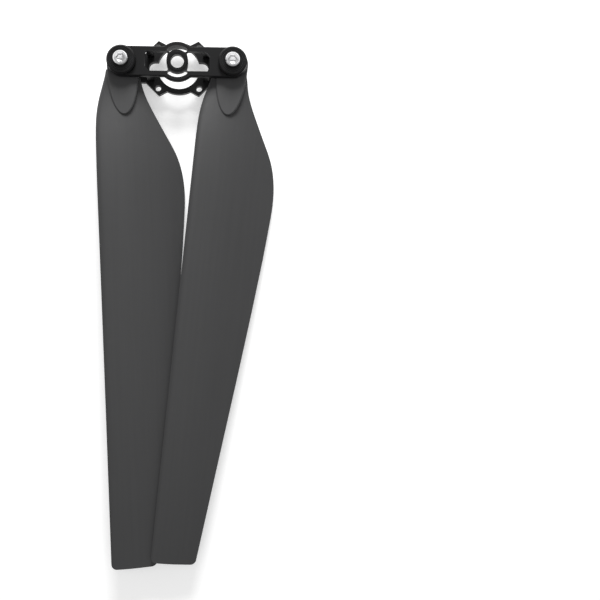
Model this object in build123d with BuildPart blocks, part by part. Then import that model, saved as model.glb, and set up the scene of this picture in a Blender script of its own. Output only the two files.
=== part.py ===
"""Folding two-blade quick-release propeller for a multirotor drone.

Millimetres, +Z up.  The origin is on the spin axis, in the flat underside of the lower plate
that sits on the motor.  The two pivots lie over the X axis and both blades are folded towards
-Y.  The blade is drawn once in its own frame, with the pivot at the origin, the span along +X
and the trailing edge towards +Y, and is then turned to each folded place.
"""
from build123d import *
from bisect import bisect_right
from math import radians, sqrt, tan
import os

# ---- driving dimensions -------------------------------------------------------------------

SIDES = {"left": -1, "right": 1}
ENDS = {"front": -1, "rear": 1}
PIVOT_X = 21.1                       # half of the distance between the two pivots
LEAN = {"left": 2.0, "right": -6.1}  # folded blades lean towards each other, degrees off -Y

# heights of the stack, from the motor face up
LOWER_PLATE_T = 2.6
WASHER_T = 0.5
RUNNING_GAP = 0.05
ROOT_T = 6.0
TOP_PLATE_T = 2.2
CAP_T = 2.0
ROOT_Z = LOWER_PLATE_T + WASHER_T + RUNNING_GAP
ROOT_MID_Z = ROOT_Z + ROOT_T / 2
TOP_Z = ROOT_Z + ROOT_T + RUNNING_GAP + WASHER_T
CAP_Z = TOP_Z + TOP_PLATE_T

# bar shape shared by both plates
BAR_R = 5.65                         # half width, and the round ends about the pivots
EDGE = 0.3                           # broken upper edges

# top plate
BULGE_R = 7.5                        # round swelling about the spin axis
BULGE_FILLET = 1.0
SLOT_R = 5.25                        # mid radius of the two curved slots
SLOT_W = 1.6
SLOT_SPAN = 70.0
WINDOW_INNER = (3.3, 4.1)            # inner edge of a window: X at its corners and at its middle
WINDOW_OUTER_X = 12.4
WINDOW_HALF_Y = 3.75
WINDOW_CUT = 1.7                     # one slanting outer corner, on the diagonal of the hub
WINDOW_FILLET = 0.6

# lower plate
RING_OUTER_R = 10.1
LUG_TIP = (7.8, 10.7)
LUG_SHOULDER = (13.0, 5.6)
LUG_INNER = (3.4, 8.4)
LUG_TIP_R = 0.5
LUG_HOLE = 8.0                       # holes at plus and minus this, in X and in Y
LUG_HOLE_R = 1.15
LOCK_R = 8.2                         # round opening for the motor's lock hub
EAR_END = 11.6                       # ears of the opening, which let the lock's wings through
EAR_R = 2.35
BOSS_R = 4.6
BOSS_DROP = 2.4
BOSS_EDGE = 0.4

# centre bush and spacers
BORE_R = 2.55
BUSHING_R = 3.2
BUSHING_FLANGE_R = 3.8
BUSHING_FLANGE_T = 0.3
BORE_CHAMFER = 0.2
SPACER_AT = (10.8, 4.65)
SPACER_SIZE = (2.6, 1.4)
SPACER_CORNER_R = 0.5

# pivots: M3 socket head screw, steel sleeve, bronze bush in the blade
SCREW_R = 1.5
SCREW_CLEARANCE_R = 1.6
SCREW_LENGTH = 16.0
HEAD_R = 2.75
HEAD_H = 3.0
HEAD_CHAMFER = 0.35
SOCKET_AF = 2.5
SOCKET_DEPTH = 1.6
SLEEVE_R = 2.0
BUSH_BORE_R = 2.03
BUSH_R = 3.0
WASHER_R = 5.2
CAP_R = 5.5
CAP_RECESS_R = 3.25
CAP_FLOOR = 1.2
CAP_GROOVES = (4.0, 4.6)
CAP_GROOVE_W = 0.25
CAP_CHAMFER = 0.5
HEAD_Z = CAP_Z + CAP_FLOOR

# lock nut
NUT_AF = 5.5
NUT_H = 4.0
NUT_HEX_H = 2.7
NUT_COLLAR_R = 2.5
NUT_POCKET_AF = 5.6
NUT_TOP_Z = 1.0

# blade
BLADE_ROOT_R = 6.0
TONGUE_START = 3.0
TONGUE_LENGTH = 16.8
TONGUE_HALF_W = 5.9
HEEL_LENGTH = 10.0                   # shorter tongue on the underside
PAD_CHAMFER = 0.3
BLADE_LENGTH = 194.8
TIP_CORNER_R = 2.2
TIP_MARGIN = 0.03
TIP_TRIM = 0.3
TE_THICKNESS = 0.55
MAX_CAMBER = 0.045
MAX_PITCH = 18.5
SECTION_STEP = 11.0
LOFT_START = 2.0
EVEN_SHARE = 0.45                    # the rest of the sections crowd together near the root

# distance from the pivot: leading edge, trailing edge, pitch in degrees, thickness
BLADE_LAW = {
    2.0: (-6.8, 5.4, 0.0, 3.9),
    8.0: (-8.3, 6.9, 1.0, 3.8),
    14.0: (-9.9, 8.7, 5.0, 3.6),
    20.0: (-10.8, 11.6, 9.5, 3.4),
    27.0: (-11.1, 15.2, 14.0, 3.3),
    36.0: (-11.1, 19.5, 17.3, 3.2),
    47.0: (-11.1, 21.5, 18.5, 3.1),
    60.0: (-11.1, 21.0, 17.0, 2.9),
    85.0: (-11.1, 18.7, 13.9, 2.5),
    115.0: (-11.1, 15.4, 11.2, 2.1),
    150.0: (-11.1, 11.3, 9.1, 1.7),
    194.8: (-11.1, 6.1, 7.4, 1.3),
}
UPPER_SAMPLES = (0.0, 0.025, 0.12, 0.32, 0.65, 1.0)
LOWER_SAMPLES = (1.0, 0.6, 0.25, 0.06, 0.0)


# ---- small helpers ------------------------------------------------------------------------


def blade_law(span):
    """Leading edge, trailing edge, pitch and thickness, eased smoothly between the rows."""
    rows = sorted(BLADE_LAW)
    last = len(rows) - 1
    at = min(max(bisect_right(rows, span) - 1, 0), last - 1)

    def rise(i, k):
        return (BLADE_LAW[rows[i + 1]][k] - BLADE_LAW[rows[i]][k]) / (rows[i + 1] - rows[i])

    def slope(i, k):
        if i in (0, last):
            return rise(min(i, last - 1), k)
        before, after = rows[i] - rows[i - 1], rows[i + 1] - rows[i]
        return (rise(i - 1, k) * after + rise(i, k) * before) / (before + after)

    width = rows[at + 1] - rows[at]
    t = (span - rows[at]) / width
    values = []
    for k in range(4):
        start, end = BLADE_LAW[rows[at]][k], BLADE_LAW[rows[at + 1]][k]
        values.append(
            (2 * t**3 - 3 * t**2 + 1) * start
            + (t**3 - 2 * t**2 + t) * width * slope(at, k)
            + (3 * t**2 - 2 * t**3) * end
            + (t**3 - t**2) * width * slope(at + 1, k)
        )
    return values


def section_point(span, x, side):
    """A point of the blade section, x from 0 at the leading edge to 1 at the trailing edge."""
    lead, trail, pitch, thick = blade_law(span)
    chord = trail - lead
    across = lead + x * chord
    swell = 2.969 * sqrt(x) - 1.260 * x - 3.516 * x**2 + 2.843 * x**3 - 1.036 * x**4
    half = swell * thick / 2 + x * TE_THICKNESS / 2
    camber = 4 * MAX_CAMBER * chord * x * (1 - x) * pitch / MAX_PITCH
    return across, -across * tan(radians(pitch)) + camber + side * half


def hexagon(across_flats):
    """A hexagon in the current sketch, given across its flats."""
    RegularPolygon(across_flats / 2, 6, major_radius=False)


def curved_slots():
    """The two curved slots either side of the bore, cut from the current sketch."""
    for middle in (90, 270):
        path = CenterArc((0, 0), SLOT_R, middle - SLOT_SPAN / 2, SLOT_SPAN, mode=Mode.PRIVATE)
        SlotArc(path, SLOT_W, mode=Mode.SUBTRACT)


def pivot_holes():
    """Clearance holes for the two pivot screws, cut from the current sketch."""
    with Locations((-PIVOT_X, 0), (PIVOT_X, 0)):
        Circle(SCREW_CLEARANCE_R, mode=Mode.SUBTRACT)


# ---- hub plates ---------------------------------------------------------------------------

with BuildSketch() as window:
    with BuildLine():
        corner_x, middle_x = WINDOW_INNER
        ThreePointArc((corner_x, -WINDOW_HALF_Y), (middle_x, 0), (corner_x, WINDOW_HALF_Y))
        Polyline(
            (corner_x, WINDOW_HALF_Y),
            (WINDOW_OUTER_X - WINDOW_CUT, WINDOW_HALF_Y),
            (WINDOW_OUTER_X, WINDOW_HALF_Y - WINDOW_CUT),
            (WINDOW_OUTER_X, -WINDOW_HALF_Y),
            (corner_x, -WINDOW_HALF_Y),
        )
    make_face()
    fillet(window.vertices(), WINDOW_FILLET)

with BuildPart() as top_plate:
    with BuildSketch(Plane.XY.offset(TOP_Z)) as top_outline:
        SlotCenterToCenter(2 * PIVOT_X, 2 * BAR_R)
        Circle(BULGE_R)
        necks = top_outline.vertices().filter_by(lambda v: abs(v.X) < BULGE_R)
        fillet(necks.filter_by(lambda v: abs(abs(v.Y) - BAR_R) < EDGE), BULGE_FILLET)
        Circle(BUSHING_R, mode=Mode.SUBTRACT)
        curved_slots()
        add(window.sketch, mode=Mode.SUBTRACT)
        add(window.sketch.rotate(Axis.Z, 180), mode=Mode.SUBTRACT)
        pivot_holes()
    extrude(amount=TOP_PLATE_T)
    chamfer(top_plate.faces().sort_by(Axis.Z)[-1].outer_wire().edges(), EDGE)

with BuildPart() as lower_plate:
    with BuildSketch() as lower_outline:
        SlotCenterToCenter(2 * PIVOT_X, 2 * BAR_R)
        Circle(RING_OUTER_R)
        for sx in (-1, 1):
            for sy in (-1, 1):
                with BuildLine():
                    Polyline(
                        (sx * LUG_SHOULDER[0], sy * LUG_SHOULDER[1]),
                        (sx * LUG_TIP[0], sy * LUG_TIP[1]),
                        (sx * LUG_INNER[0], sy * LUG_INNER[1]),
                        (sx * LUG_INNER[0], sy * LUG_SHOULDER[1]),
                        close=True,
                    )
                make_face()
        tips = lower_outline.vertices().filter_by(lambda v: abs(v.Y) > RING_OUTER_R)
        fillet(tips, LUG_TIP_R)
        Circle(LOCK_R, mode=Mode.SUBTRACT)
        SlotOverall(2 * EAR_END, 2 * EAR_R, mode=Mode.SUBTRACT)
        with GridLocations(2 * LUG_HOLE, 2 * LUG_HOLE, 2, 2):
            Circle(LUG_HOLE_R, mode=Mode.SUBTRACT)
        pivot_holes()
    extrude(amount=LOWER_PLATE_T)
    chamfer(lower_plate.faces().sort_by(Axis.Z)[-1].outer_wire().edges(), EDGE)
    with BuildSketch():
        with Locations((-PIVOT_X, 0), (PIVOT_X, 0)):
            Circle(BOSS_R)
            Circle(SCREW_CLEARANCE_R, mode=Mode.SUBTRACT)
    extrude(amount=-BOSS_DROP)
    undersides = lower_plate.faces().filter_by(Axis.Z).group_by(Axis.Z)[0]
    chamfer([face.outer_wire().edges() for face in undersides], BOSS_EDGE)
    with BuildSketch(Plane.XY.offset(-BOSS_DROP)):
        with Locations((-PIVOT_X, 0), (PIVOT_X, 0)):
            hexagon(NUT_POCKET_AF)
    extrude(amount=BOSS_DROP + NUT_TOP_Z, mode=Mode.SUBTRACT)

with BuildPart() as centre_bush:
    with BuildSketch(Plane.XY.offset(TOP_Z)):
        Circle(BUSHING_R)
        Circle(BORE_R, mode=Mode.SUBTRACT)
    extrude(amount=TOP_PLATE_T)
    with BuildSketch(Plane.XY.offset(CAP_Z)):
        Circle(BUSHING_FLANGE_R)
        Circle(BORE_R, mode=Mode.SUBTRACT)
    extrude(amount=BUSHING_FLANGE_T)
    chamfer(centre_bush.faces().sort_by(Axis.Z)[-1].edges(), BORE_CHAMFER)

parts = {"top_plate": top_plate, "lower_plate": lower_plate, "centre_bush": centre_bush}

for side, sign in SIDES.items():
    for end, way in ENDS.items():
        with BuildPart() as spacer:
            with BuildSketch(Plane.XY.offset(LOWER_PLATE_T)):
                with Locations((sign * SPACER_AT[0], way * SPACER_AT[1])):
                    RectangleRounded(*SPACER_SIZE, SPACER_CORNER_R)
            extrude(amount=TOP_Z - LOWER_PLATE_T)
        parts[f"spacer_{end}_{side}"] = spacer

# ---- pivots -------------------------------------------------------------------------------

for side, sign in SIDES.items():
    axis = Plane((sign * PIVOT_X, 0, 0))

    with BuildPart() as sleeve:
        with BuildSketch(axis.offset(LOWER_PLATE_T)):
            Circle(SLEEVE_R)
            Circle(SCREW_CLEARANCE_R, mode=Mode.SUBTRACT)
        extrude(amount=TOP_Z - LOWER_PLATE_T)
    parts[f"pivot_sleeve_{side}"] = sleeve

    with BuildPart() as bush:
        with BuildSketch(axis.offset(ROOT_Z)):
            Circle(BUSH_R)
            Circle(BUSH_BORE_R, mode=Mode.SUBTRACT)
        extrude(amount=ROOT_T)
    parts[f"blade_bush_{side}"] = bush

    for level, low in {"lower": LOWER_PLATE_T, "upper": TOP_Z - WASHER_T}.items():
        with BuildPart() as washer:
            with BuildSketch(axis.offset(low)):
                Circle(WASHER_R)
                Circle(BUSH_BORE_R, mode=Mode.SUBTRACT)
            extrude(amount=WASHER_T)
        parts[f"{level}_washer_{side}"] = washer

    with BuildPart() as cap:
        with BuildSketch(axis.offset(CAP_Z)):
            Circle(CAP_R)
            Circle(SCREW_CLEARANCE_R, mode=Mode.SUBTRACT)
        extrude(amount=CAP_T)
        chamfer(cap.faces().sort_by(Axis.Z)[-1].outer_wire().edges(), CAP_CHAMFER)
        with BuildSketch(axis.offset(CAP_Z + CAP_T)):
            Circle(CAP_RECESS_R)
        extrude(amount=CAP_FLOOR - CAP_T, mode=Mode.SUBTRACT)
        for groove in CAP_GROOVES:
            with BuildSketch(axis.offset(CAP_Z + CAP_T)):
                Circle(groove + CAP_GROOVE_W / 2)
                Circle(groove - CAP_GROOVE_W / 2, mode=Mode.SUBTRACT)
            extrude(amount=-CAP_GROOVE_W, mode=Mode.SUBTRACT)
    parts[f"pivot_cap_{side}"] = cap

    with BuildPart() as screw:
        with BuildSketch(axis.offset(HEAD_Z)):
            Circle(HEAD_R)
        extrude(amount=HEAD_H)
        chamfer(screw.faces().sort_by(Axis.Z)[-1].edges(), HEAD_CHAMFER)
        with BuildSketch(axis.offset(HEAD_Z + HEAD_H)):
            hexagon(SOCKET_AF)
        extrude(amount=-SOCKET_DEPTH, mode=Mode.SUBTRACT)
        with BuildSketch(axis.offset(HEAD_Z)):
            Circle(SCREW_R)
        extrude(amount=-SCREW_LENGTH)
        chamfer(screw.faces().sort_by(Axis.Z)[0].edges(), HEAD_CHAMFER)
    parts[f"pivot_screw_{side}"] = screw

    with BuildPart() as nut:
        with BuildSketch(axis.offset(NUT_TOP_Z)):
            hexagon(NUT_AF)
        extrude(amount=-NUT_HEX_H)
        with BuildSketch(axis.offset(NUT_TOP_Z - NUT_HEX_H)):
            Circle(NUT_COLLAR_R)
        extrude(amount=NUT_HEX_H - NUT_H)
        with BuildSketch(axis.offset(NUT_TOP_Z)):
            Circle(SCREW_R)
        extrude(amount=-NUT_H, mode=Mode.SUBTRACT)
    parts[f"lock_nut_{side}"] = nut

# ---- blade --------------------------------------------------------------------------------

with BuildPart() as pad:
    for tongue, amount in ((TONGUE_LENGTH, ROOT_T / 2), (HEEL_LENGTH, -ROOT_T / 2)):
        with BuildSketch():
            Circle(BLADE_ROOT_R)
            with BuildLine():
                EllipticalCenterArc(
                    (TONGUE_START, 0), tongue, TONGUE_HALF_W, start_angle=-90, arc_size=180
                )
                Polyline(
                    (TONGUE_START, TONGUE_HALF_W),
                    (0, BLADE_ROOT_R),
                    (0, -BLADE_ROOT_R),
                    (TONGUE_START, -TONGUE_HALF_W),
                )
            make_face()
        extrude(amount=amount)
    chamfer(pad.faces().sort_by(Axis.Z)[-1].outer_wire().edges(), PAD_CHAMFER)

with BuildPart() as blade:
    span_steps = round((BLADE_LENGTH - LOFT_START) / SECTION_STEP)
    for step in range(span_steps + 1):
        t = step / span_steps
        crowded = EVEN_SHARE * t + (1 - EVEN_SHARE) * t * t
        span = LOFT_START + (BLADE_LENGTH - LOFT_START) * crowded
        with BuildSketch(Plane((span, 0, 0), x_dir=(0, 1, 0), z_dir=(1, 0, 0))):
            with BuildLine():
                Spline(*[section_point(span, x, 1) for x in UPPER_SAMPLES])
                Line(section_point(span, 1.0, 1), section_point(span, 1.0, -1))
                Spline(*[section_point(span, x, -1) for x in LOWER_SAMPLES])
            make_face()
    loft()
    with BuildSketch() as tip_outline:
        near, far = BLADE_LENGTH - SECTION_STEP, BLADE_LENGTH - TIP_TRIM
        with BuildLine():
            Polyline(
                (near, blade_law(near)[0] - TIP_MARGIN),
                (far, blade_law(far)[0] - TIP_MARGIN),
                (far, blade_law(far)[1] + TIP_MARGIN),
                (near, blade_law(near)[1] + TIP_MARGIN),
                close=True,
            )
        make_face()
        fillet(tip_outline.vertices().sort_by(Axis.X)[-2:], TIP_CORNER_R)
        with Locations((near - BLADE_LENGTH / 2, 0)):
            Rectangle(BLADE_LENGTH, 4 * BLADE_ROOT_R + PIVOT_X)
    extrude(amount=2 * ROOT_T, both=True, mode=Mode.INTERSECT)
    add(pad.part)
    with BuildSketch(Plane.XY.offset(-ROOT_T / 2)):
        Circle(BUSH_R)
    extrude(amount=ROOT_T, mode=Mode.SUBTRACT)

for side, sign in SIDES.items():
    folded = Location((sign * PIVOT_X, 0, ROOT_MID_Z), (0, 0, LEAN[side] - 90))
    with BuildPart() as placed:
        add(folded * blade.part)
    parts[f"blade_{side}"] = placed

os.makedirs("parts", exist_ok=True)
for name, part in parts.items():
    part.part.label = name
    export_step(part.part, f"parts/{name}.step")
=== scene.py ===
"""Finishes and studio for a folding two-blade quick-release propeller.

Metres, +Z up along the spin axis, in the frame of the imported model.  The file follows the
propeller as it is put together: base plate, pivots, blades, top plate, caps and screws, studio.
"""

import math

import bmesh
import bpy
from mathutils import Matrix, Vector


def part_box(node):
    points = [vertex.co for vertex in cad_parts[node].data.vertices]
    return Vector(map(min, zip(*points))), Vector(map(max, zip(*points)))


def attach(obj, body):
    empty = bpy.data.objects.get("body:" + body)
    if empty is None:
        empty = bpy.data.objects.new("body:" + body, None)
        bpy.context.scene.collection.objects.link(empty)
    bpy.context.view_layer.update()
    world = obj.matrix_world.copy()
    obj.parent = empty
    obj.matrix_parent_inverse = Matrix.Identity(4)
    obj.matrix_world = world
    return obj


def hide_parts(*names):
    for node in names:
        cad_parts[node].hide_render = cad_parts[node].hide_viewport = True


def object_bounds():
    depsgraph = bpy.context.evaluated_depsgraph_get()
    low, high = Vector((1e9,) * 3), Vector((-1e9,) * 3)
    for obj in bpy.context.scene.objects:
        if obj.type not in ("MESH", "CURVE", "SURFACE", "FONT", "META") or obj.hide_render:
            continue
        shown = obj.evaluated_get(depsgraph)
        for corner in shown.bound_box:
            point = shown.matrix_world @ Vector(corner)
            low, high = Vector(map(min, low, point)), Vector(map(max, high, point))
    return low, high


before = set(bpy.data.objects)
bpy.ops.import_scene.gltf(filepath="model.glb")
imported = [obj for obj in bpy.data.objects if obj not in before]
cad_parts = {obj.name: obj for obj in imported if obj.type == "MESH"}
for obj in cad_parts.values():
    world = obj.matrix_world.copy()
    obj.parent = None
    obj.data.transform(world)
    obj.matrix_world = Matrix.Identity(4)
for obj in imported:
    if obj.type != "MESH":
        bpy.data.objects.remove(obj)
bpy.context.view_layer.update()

# ---- Lower plate ---------------------------------------------------------------------------
# The base of the hub: a lugged ring on a bar, milled from aluminium plate, bead blasted and
# anodised black.  It locks on the motor, and its corners are painted a little brighter as a painted
# highlight.


def shader_group(name, inputs, outputs):
    """An empty shader node group with number or vector sockets, and its two end nodes."""
    group = bpy.data.node_groups.new(name, "ShaderNodeTree")
    for socket, kind in inputs.items():
        group.interface.new_socket(socket, in_out="INPUT", socket_type=kind)
    for socket, kind in outputs.items():
        group.interface.new_socket(socket, in_out="OUTPUT", socket_type=kind)
    return group, group.nodes.new("NodeGroupInput"), group.nodes.new("NodeGroupOutput")


def node(tree, kind, links=None, values=None, **settings):
    """A node in a tree, with its settings, its sockets' values and what is linked into it."""
    made = tree.nodes.new(kind)
    for key, value in settings.items():
        setattr(made, key, value)
    for key, value in (values or {}).items():
        made.inputs[key].default_value = value
    for key, source in (links or {}).items():
        tree.links.new(source, made.inputs[key])
    return made


def grain_group():
    """Fine blasted or moulded grain over slow blotches, each from 0 to 1."""
    group, start, end = shader_group(
        "surface_grain",
        {"Vector": "NodeSocketVector", "Grain Scale": "NodeSocketFloat", "Blotch Scale": "NodeSocketFloat"},
        {"Grain": "NodeSocketFloat", "Blotch": "NodeSocketFloat"},
    )
    for scale, result, octaves in (("Grain Scale", "Grain", 3.0), ("Blotch Scale", "Blotch", 2.0)):
        noise = node(
            group, "ShaderNodeTexNoise",
            {"Vector": start.outputs["Vector"], "Scale": start.outputs[scale]},
            {"Detail": octaves, "Roughness": 0.6},
        )
        group.links.new(noise.outputs["Fac"], end.inputs[result])
    return group


def edge_wear_and_highlight_group():
    """Wear and painted highlight along edges: where a rounded normal leaves the true one, broken up by the
    grain.
    """
    group, start, end = shader_group(
        "edge_wear_and_highlight",
        {"Radius": "NodeSocketFloat", "Amount": "NodeSocketFloat", "Grain": "NodeSocketFloat"},
        {"Wear And Highlight": "NodeSocketFloat"},
    )
    rounded = node(group, "ShaderNodeBevel", {"Radius": start.outputs["Radius"]}, samples=6)
    true_normal = node(group, "ShaderNodeNewGeometry")
    alike = node(group, "ShaderNodeVectorMath", operation="DOT_PRODUCT")
    group.links.new(rounded.outputs["Normal"], alike.inputs[0])
    group.links.new(true_normal.outputs["Normal"], alike.inputs[1])
    unlike = node(group, "ShaderNodeMath", {1: alike.outputs["Value"]}, {0: 1.0}, operation="SUBTRACT")
    scaled = node(
        group, "ShaderNodeMath",
        {0: unlike.outputs["Value"], 1: start.outputs["Amount"]}, operation="MULTIPLY",
    )
    broken = node(
        group, "ShaderNodeMath",
        {0: scaled.outputs["Value"], 1: start.outputs["Grain"]}, operation="MULTIPLY", use_clamp=True,
    )
    group.links.new(broken.outputs["Value"], end.inputs["Wear And Highlight"])
    return group


def turning_group():
    """Fine lathe marks round the Z axis of the given coordinates, from 0 to 1."""
    group, start, end = shader_group(
        "turning_marks",
        {"Vector": "NodeSocketVector", "Marks Per Metre": "NodeSocketFloat"},
        {"Marks": "NodeSocketFloat"},
    )
    flat = node(
        group, "ShaderNodeVectorMath", {0: start.outputs["Vector"]}, {1: (1, 1, 0)}, operation="MULTIPLY",
    )
    radius = node(group, "ShaderNodeVectorMath", {0: flat.outputs["Vector"]}, operation="LENGTH")
    ring = node(
        group, "ShaderNodeTexNoise",
        {"W": radius.outputs["Value"], "Scale": start.outputs["Marks Per Metre"]},
        {"Detail": 2.0}, noise_dimensions="1D",
    )
    group.links.new(ring.outputs["Fac"], end.inputs["Marks"])
    return group


surface_grain = grain_group()
edge_wear_and_highlight = edge_wear_and_highlight_group()
turning_marks = turning_group()
marks_per_metre = 9000.0
first_colour, second_colour, mixed_colour = 6, 7, 2  # colour sockets of a Mix node


def finish_material(
    name, colour, rubbed_and_highlight_colour, roughness, metallic=0.0, centre=(0, 0, 0), grain_scale=5000.0,
    blotch_scale=90.0, grain_depth=0.00001, wear_and_highlight_radius=0.0003, wear_and_highlight=2.0, marks=0.0, blotch=0.1,
    specular=0.5,
):
    """A worked surface: grain, blotches, brighter edges that are partly wear and partly painted highlight,
    and, where turned, lathe marks.

    roughness is the pair that the grain runs between, and marks the depth of the lathe marks.
    """
    material = bpy.data.materials.new(name)
    material.use_nodes = True
    tree = material.node_tree
    shader = tree.nodes["Principled BSDF"]
    shader.inputs["Metallic"].default_value = metallic
    shader.inputs["Specular IOR Level"].default_value = specular
    place = node(tree, "ShaderNodeTexCoord")
    centred = node(
        tree, "ShaderNodeMapping", {"Vector": place.outputs["Object"]},
        {"Location": [-value for value in centre]},
    )
    at = centred.outputs["Vector"]
    grain = node(tree, "ShaderNodeGroup", node_tree=surface_grain)
    tree.links.new(at, grain.inputs["Vector"])
    grain.inputs["Grain Scale"].default_value = grain_scale
    grain.inputs["Blotch Scale"].default_value = blotch_scale
    worn_and_highlit = node(tree, "ShaderNodeGroup", node_tree=edge_wear_and_highlight)
    worn_and_highlit.inputs["Radius"].default_value = wear_and_highlight_radius
    worn_and_highlit.inputs["Amount"].default_value = wear_and_highlight
    tree.links.new(grain.outputs["Grain"], worn_and_highlit.inputs["Grain"])

    blotched = node(tree, "ShaderNodeMix", {"Factor": grain.outputs["Blotch"]}, data_type="RGBA")
    blotched.inputs[first_colour].default_value = (*[value * (1 - blotch) for value in colour], 1)
    blotched.inputs[second_colour].default_value = (*[value * (1 + blotch) for value in colour], 1)
    # Edges painted brighter: partly wear, partly a painted highlight along the edges.
    edged = node(tree, "ShaderNodeMix", {"Factor": worn_and_highlit.outputs["Wear And Highlight"]}, data_type="RGBA")
    tree.links.new(blotched.outputs[mixed_colour], edged.inputs[first_colour])
    edged.inputs[second_colour].default_value = (*rubbed_and_highlight_colour, 1)
    tree.links.new(edged.outputs[mixed_colour], shader.inputs["Base Color"])

    shine = node(
        tree, "ShaderNodeMapRange", {"Value": grain.outputs["Grain"]},
        {"To Min": roughness[0], "To Max": roughness[1]},
    )
    tree.links.new(shine.outputs["Result"], shader.inputs["Roughness"])
    bump = node(
        tree, "ShaderNodeBump", {"Height": grain.outputs["Grain"]},
        {"Distance": grain_depth, "Strength": 1.0},
    )
    if marks:
        turned = node(tree, "ShaderNodeGroup", node_tree=turning_marks)
        turned.inputs["Marks Per Metre"].default_value = marks_per_metre
        tree.links.new(at, turned.inputs["Vector"])
        lathe = node(
            tree, "ShaderNodeBump",
            {"Height": turned.outputs["Marks"], "Normal": bump.outputs["Normal"]},
            {"Distance": marks, "Strength": 1.0},
        )
        tree.links.new(lathe.outputs["Normal"], shader.inputs["Normal"])
    else:
        tree.links.new(bump.outputs["Normal"], shader.inputs["Normal"])
    return material


def dress(material, *names):
    """Gives these pieces of the frame their material."""
    for name in names:
        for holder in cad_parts[name].material_slots:
            holder.material = material


sides = ("left", "right")
anodised_black = (0.0060, 0.0060, 0.0064)
# Painted highlight: the lighter grey painted along the edges of the black parts.
highlight_edge_black = (0.060, 0.060, 0.063)
anodised_gloss = 0.16
plate_black = finish_material(
    "anodised_plate", anodised_black, highlight_edge_black, (0.34, 0.50), specular=anodised_gloss,
)
dress(plate_black, "lower_plate")

# ---- Spacers -------------------------------------------------------------------------------
# Four short aluminium posts that hold the two plates apart, milled on all sides and anodised
# with the plates.  Their narrow walls keep finer cutter marks than the blasted faces.
post_black = finish_material(
    "milled_post", anodised_black, highlight_edge_black, (0.28, 0.42), grain_scale=3000.0, grain_depth=0.000012,
    specular=anodised_gloss,
)
dress(post_black, *[f"spacer_{end}_{side}" for end in ("front", "rear") for side in sides])

# ---- Pivots --------------------------------------------------------------------------------
# On each side a ground steel sleeve round the screw, a bronze bush in the blade, and a washer
# of natural nylon above and below the blade root, clamped between the plates.
steel = (0.62, 0.62, 0.63)
bronze = (0.50, 0.32, 0.13)
nylon = (0.62, 0.61, 0.56)
pivot_at = {}
for side in sides:
    low, high = (Vector(corner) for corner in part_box(f"pivot_cap_{side}"))
    pivot_at[side] = low.lerp(high, 0.5)
for side in sides:
    axis = (pivot_at[side].x, pivot_at[side].y, 0)
    ground = finish_material(
        f"ground_steel_{side}", steel, (0.75, 0.75, 0.75), (0.16, 0.28), 1.0, axis,
        grain_scale=2500.0, grain_depth=0.000003, marks=0.000004,
    )
    dress(ground, f"pivot_sleeve_{side}")
    bearing = finish_material(
        f"bearing_bronze_{side}", bronze, (0.66, 0.46, 0.22), (0.30, 0.45), 1.0, axis,
        grain_scale=4200.0, grain_depth=0.000006, blotch=0.25, marks=0.000004,
    )
    dress(bearing, f"blade_bush_{side}")
    washer_nylon = finish_material(
        f"cut_nylon_{side}", nylon, (0.72, 0.71, 0.67), (0.42, 0.60), 0.0, axis,
        grain_scale=2600.0, grain_depth=0.000008, wear_and_highlight=1.0,
    )
    dress(washer_nylon, f"lower_washer_{side}", f"upper_washer_{side}")

# ---- Blades --------------------------------------------------------------------------------
# Two slim twisted blades, moulded in carbon-filled nylon with a fine matt texture from the
# mould.  The fill runs along the span and shows as faint long streaks; the edges carry a painted sheen.
moulded_grey = (0.049, 0.049, 0.050)
# Painted sheen: the lighter grey painted along the blade edges.
sheen_edge_grey = (0.090, 0.090, 0.091)
blade_lean = {"left": 2.0, "right": -6.1}
streak_scale = (22.0, 700.0, 700.0)


def moulded_composite(side):
    """Carbon-filled nylon: matt grain, slow mottling and streaks along this blade's span."""
    material = finish_material(
        f"moulded_blade_{side}", moulded_grey, sheen_edge_grey, (0.50, 0.64),
        grain_scale=3600.0, blotch_scale=26.0, grain_depth=0.000016, wear_and_highlight_radius=0.0004, wear_and_highlight=1.2,
        blotch=0.06, specular=0.35,
    )
    tree = material.node_tree
    shader = tree.nodes["Principled BSDF"]
    place = node(tree, "ShaderNodeTexCoord")
    along = node(
        tree, "ShaderNodeMapping", {"Vector": place.outputs["Object"]},
        {"Rotation": (0, 0, math.radians(90 - blade_lean[side]))},
    )
    drawn_out = node(
        tree, "ShaderNodeVectorMath", {0: along.outputs["Vector"]}, {1: streak_scale}, operation="MULTIPLY",
    )
    streaks = node(
        tree, "ShaderNodeTexNoise", {"Vector": drawn_out.outputs["Vector"]}, {"Scale": 1.0, "Detail": 3.0},
    )
    depth = node(
        tree, "ShaderNodeMapRange", {"Value": streaks.outputs["Fac"]}, {"To Min": 0.93, "To Max": 1.07},
    )
    base = shader.inputs["Base Color"].links[0].from_socket
    toned = node(tree, "ShaderNodeVectorMath", {0: base}, operation="SCALE")
    tree.links.new(depth.outputs["Result"], toned.inputs["Scale"])
    tree.links.new(toned.outputs["Vector"], shader.inputs["Base Color"])
    return material


for side in sides:
    dress(moulded_composite(side), f"blade_{side}")

# ---- Top plate and centre bush -------------------------------------------------------------
# The upper bar of the hub, milled and anodised like the base, with a turned bush pressed into
# its middle to centre the propeller on the motor.
dress(plate_black, "top_plate")
bush_black = finish_material(
    "turned_bush", anodised_black, highlight_edge_black, (0.24, 0.38), marks=0.000008, grain_depth=0.000003,
    specular=anodised_gloss,
)
dress(bush_black, "centre_bush")

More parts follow.
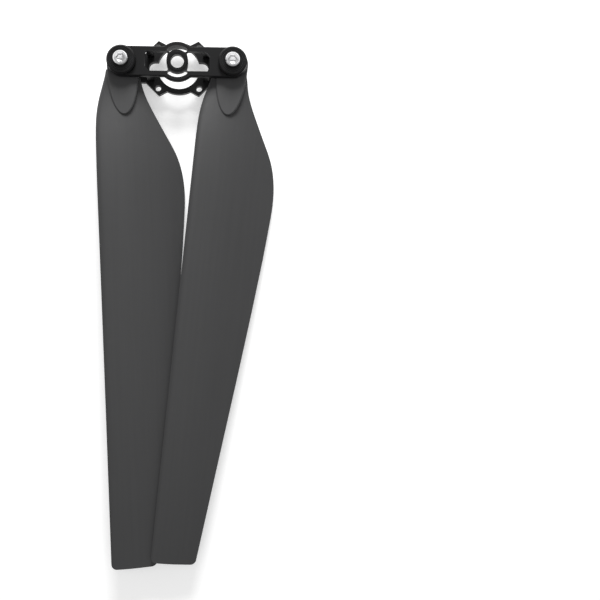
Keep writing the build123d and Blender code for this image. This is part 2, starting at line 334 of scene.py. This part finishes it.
# ---- Pivot caps ----------------------------------------------------------------------------
# A cap on each pivot, turned from aluminium bar and anodised, with two fine grooves round the
# recess that its screw head sits in.  The screw holds it down.
for side in sides:
    cap_black = finish_material(
        f"turned_cap_{side}", anodised_black, highlight_edge_black, (0.26, 0.40), 0.0,
        (pivot_at[side].x, pivot_at[side].y, 0),
        grain_depth=0.000004, marks=0.00001, wear_and_highlight=1.6, specular=anodised_gloss,
    )
    dress(cap_black, f"pivot_cap_{side}")

# ---- Pivot screws --------------------------------------------------------------------------
# Stainless M3 socket head screws, cold formed with a straight knurl round the head and a broached
# hexagon socket.  Each goes down through its cap, sleeve and both plates into the lock nut.
mm = 0.001
spin_steps = 72


def six_sided(radius, angle):
    """Distance from the middle to a hexagon of this inner radius, in the direction of angle."""
    return radius / math.cos((angle % math.radians(60)) - math.radians(30))


def turned_piece(name, outline, axis, shape=None, closed=False):
    """A piece spun round a vertical axis from (radius, height) points in mm.

    shape(point number, step number, angle, radius) gives a point's own radius, for flats and ribs.
    """
    bm = bmesh.new()
    number = bm.verts.layers.int.new("outline_point")
    profile = [bm.verts.new((radius * mm, 0, height * mm)) for radius, height in outline]
    for i, vert in enumerate(profile):
        vert[number] = i
    pairs = list(zip(profile, profile[1:] + profile[:1]))
    for first, second in pairs if closed else pairs[:-1]:
        bm.edges.new((first, second))
    bmesh.ops.spin(
        bm, geom=bm.verts[:] + bm.edges[:], cent=(0, 0, 0), axis=(0, 0, 1), dvec=(0, 0, 0),
        angle=math.tau, steps=spin_steps, use_merge=True, use_duplicate=False,
    )
    if shape:
        for vert in bm.verts:
            angle = math.atan2(vert.co.y, vert.co.x) % math.tau
            step = round(angle / math.tau * spin_steps)
            radius = shape(vert[number], step, angle, vert.co.xy.length / mm) * mm
            vert.co.x, vert.co.y = radius * math.cos(angle), radius * math.sin(angle)
    bmesh.ops.remove_doubles(bm, verts=bm.verts[:], dist=1e-7)
    bmesh.ops.recalc_face_normals(bm, faces=bm.faces[:])
    bmesh.ops.translate(bm, verts=bm.verts[:], vec=(axis.x, axis.y, 0))
    mesh = bpy.data.meshes.new(name)
    bm.to_mesh(mesh)
    bm.free()
    mesh.shade_smooth()
    mesh.set_sharp_from_angle(angle=math.radians(28))
    piece = bpy.data.objects.new(name, mesh)
    bpy.context.collection.objects.link(piece)
    return piece


head_radius = 2.75
head_height = 3.0
knurl_depth = 0.09
socket_half = 1.25
shank_radius = 1.5
knurl_points = (5, 6)
socket_points = (1, 2)


def head_form(point, step, angle, radius):
    """Hexagon socket, and straight ribs round the head."""
    if point in socket_points:
        return six_sided(socket_half, angle)
    if point in knurl_points and step % 2:
        return radius - knurl_depth
    return radius


for side in sides:
    low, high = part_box(f"pivot_screw_{side}")
    foot, top = low.z / mm, high.z / mm
    seat = top - head_height
    screw = turned_piece(
        f"socket_screw_{side}",
        [
            (0, top - 1.9), (socket_half, top - 1.6), (socket_half, top - 0.12), (1.62, top),
            (head_radius - 0.4, top), (head_radius, top - 0.42), (head_radius, seat + 0.25),
            (head_radius - 0.12, seat), (shank_radius, seat), (shank_radius, foot + 0.35),
            (shank_radius - 0.3, foot), (0, foot),
        ],
        pivot_at[side], head_form,
    )
    bright = finish_material(
        f"bright_steel_{side}", (0.70, 0.70, 0.71), (0.85, 0.85, 0.85), (0.17, 0.30), 1.0,
        (pivot_at[side].x, pivot_at[side].y, 0),
        grain_scale=2200.0, grain_depth=0.000004, marks=0.000005,
    )
    screw.data.materials.append(bright)
    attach(screw, "hub")
    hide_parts(f"pivot_screw_{side}")

# ---- Lock nuts -----------------------------------------------------------------------------
# Plated steel M3 lock nuts in hexagon pockets under the lower plate.  The collar of each is
# rolled over a ring of white nylon, which grips the thread of the screw.
flat_half = 2.75
nut_flats = (2, 3)


def nut_form(point, step, angle, radius):
    """Flats round the nut, between its two chamfered ends."""
    return six_sided(flat_half, angle) if point in nut_flats else radius


for side in sides:
    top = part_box(f"lock_nut_{side}")[1].z / mm
    nut = turned_piece(
        f"lock_nut_body_{side}",
        [
            (shank_radius, top), (flat_half - 0.1, top), (flat_half, top - 0.22),
            (flat_half, top - 2.48), (flat_half - 0.1, top - 2.7), (2.5, top - 2.7),
            (2.5, top - 3.75), (2.35, top - 4.0), (2.12, top - 3.95), (2.12, top - 3.2),
            (shank_radius, top - 3.2),
        ],
        pivot_at[side], nut_form, closed=True,
    )
    plated = finish_material(
        f"plated_nut_{side}", (0.52, 0.52, 0.53), (0.70, 0.70, 0.70), (0.26, 0.40), 1.0,
        (pivot_at[side].x, pivot_at[side].y, 0), grain_scale=3000.0, grain_depth=0.000005,
    )
    nut.data.materials.append(plated)
    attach(nut, "hub")
    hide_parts(f"lock_nut_{side}")
    grip = turned_piece(
        f"lock_nut_ring_{side}",
        [
            (shank_radius, top - 3.22), (2.1, top - 3.22), (2.1, top - 3.7),
            (1.95, top - 3.86), (1.62, top - 3.86), (shank_radius, top - 3.75),
        ],
        pivot_at[side], closed=True,
    )
    grip_nylon = finish_material(
        f"grip_nylon_{side}", (0.66, 0.66, 0.62), (0.74, 0.74, 0.70), (0.40, 0.56), 0.0,
        (pivot_at[side].x, pivot_at[side].y, 0), grain_scale=2600.0, grain_depth=0.000006, wear_and_highlight=1.0,
    )
    grip.data.materials.append(grip_nylon)
    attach(grip, "hub")

# ---- Studio --------------------------------------------------------------------------------
# A bright white table with a large soft lamp over the hub end and an even white room, seen from
# straight above, as such parts are shown for sale.
table_drop = 0.0005
table_half = 1.5
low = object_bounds()[0]
table_mesh = bpy.data.meshes.new("studio_table")
corners = ((-1, -1), (1, -1), (1, 1), (-1, 1))
table_mesh.from_pydata(
    [(x * table_half, y * table_half, low.z - table_drop) for x, y in corners], [], [(0, 1, 2, 3)],
)
table = bpy.data.objects.new("studio_table", table_mesh)
bpy.context.collection.objects.link(table)
table_white = bpy.data.materials.new("table_white")
table_white.use_nodes = True
paint = table_white.node_tree.nodes["Principled BSDF"]
paint.inputs["Base Color"].default_value = (0.85, 0.85, 0.85, 1)
paint.inputs["Roughness"].default_value = 0.9
paint.inputs["Emission Color"].default_value = (1, 1, 1, 1)
paint.inputs["Emission Strength"].default_value = 0.42
table_mesh.materials.append(table_white)

seen_light, given_light = 1.0, 0.34  # the room as the camera sees it, and as it lights the part
world = bpy.data.worlds.new("studio_air")
bpy.context.scene.world = world
world.use_nodes = True
air = world.node_tree
seen = node(air, "ShaderNodeBackground", values={"Color": (1, 1, 1, 1), "Strength": seen_light})
glow = node(air, "ShaderNodeBackground", values={"Color": (1, 1, 1, 1), "Strength": given_light})
rays = node(air, "ShaderNodeLightPath")
both = node(
    air, "ShaderNodeMixShader",
    {0: rays.outputs["Is Camera Ray"], 1: glow.outputs["Background"], 2: seen.outputs["Background"]},
)
air.links.new(both.outputs["Shader"], air.nodes["World Output"].inputs["Surface"])


def lamp(name, place, aim, size, power):
    """A square soft lamp at a place, turned towards what it lights."""
    data = bpy.data.lights.new(name, "AREA")
    data.size = size
    data.energy = power
    made = bpy.data.objects.new(name, data)
    made.location = place
    made.rotation_euler = (Vector(aim) - Vector(place)).to_track_quat("-Z", "Y").to_euler()
    bpy.context.collection.objects.link(made)


lamp("lamp_key", (0.02, 0.34, 0.26), (0.0, -0.03, 0.0), 0.18, 2.6)
lamp("lamp_over", (0.01, -0.08, 0.62), (0.01, -0.08, 0.0), 0.5, 0.75)

bpy.context.scene.view_settings.view_transform = "Standard"
camera_data = bpy.data.cameras.new("studio_camera")
camera = bpy.data.objects.new("studio_camera", camera_data)
bpy.context.collection.objects.link(camera)
bpy.context.scene.camera = camera
blade_plane_z = 0.006
camera_height = 0.312
view_width = 0.234
turn = math.radians(3.0)
camera_data.sensor_width = 36.0
camera_data.lens = camera_data.sensor_width * camera_height / view_width
camera_data.shift_x = 0.05
view_middle = Vector((0.0474, -0.0910, blade_plane_z))
sideways = camera_height * math.tan(turn) + camera_data.shift_x * view_width
camera.location = view_middle + Vector((-sideways, 0, camera_height))
camera.rotation_euler = (0, -turn, 0)
camera_data.clip_start = 0.01
camera_data.clip_end = 10.0
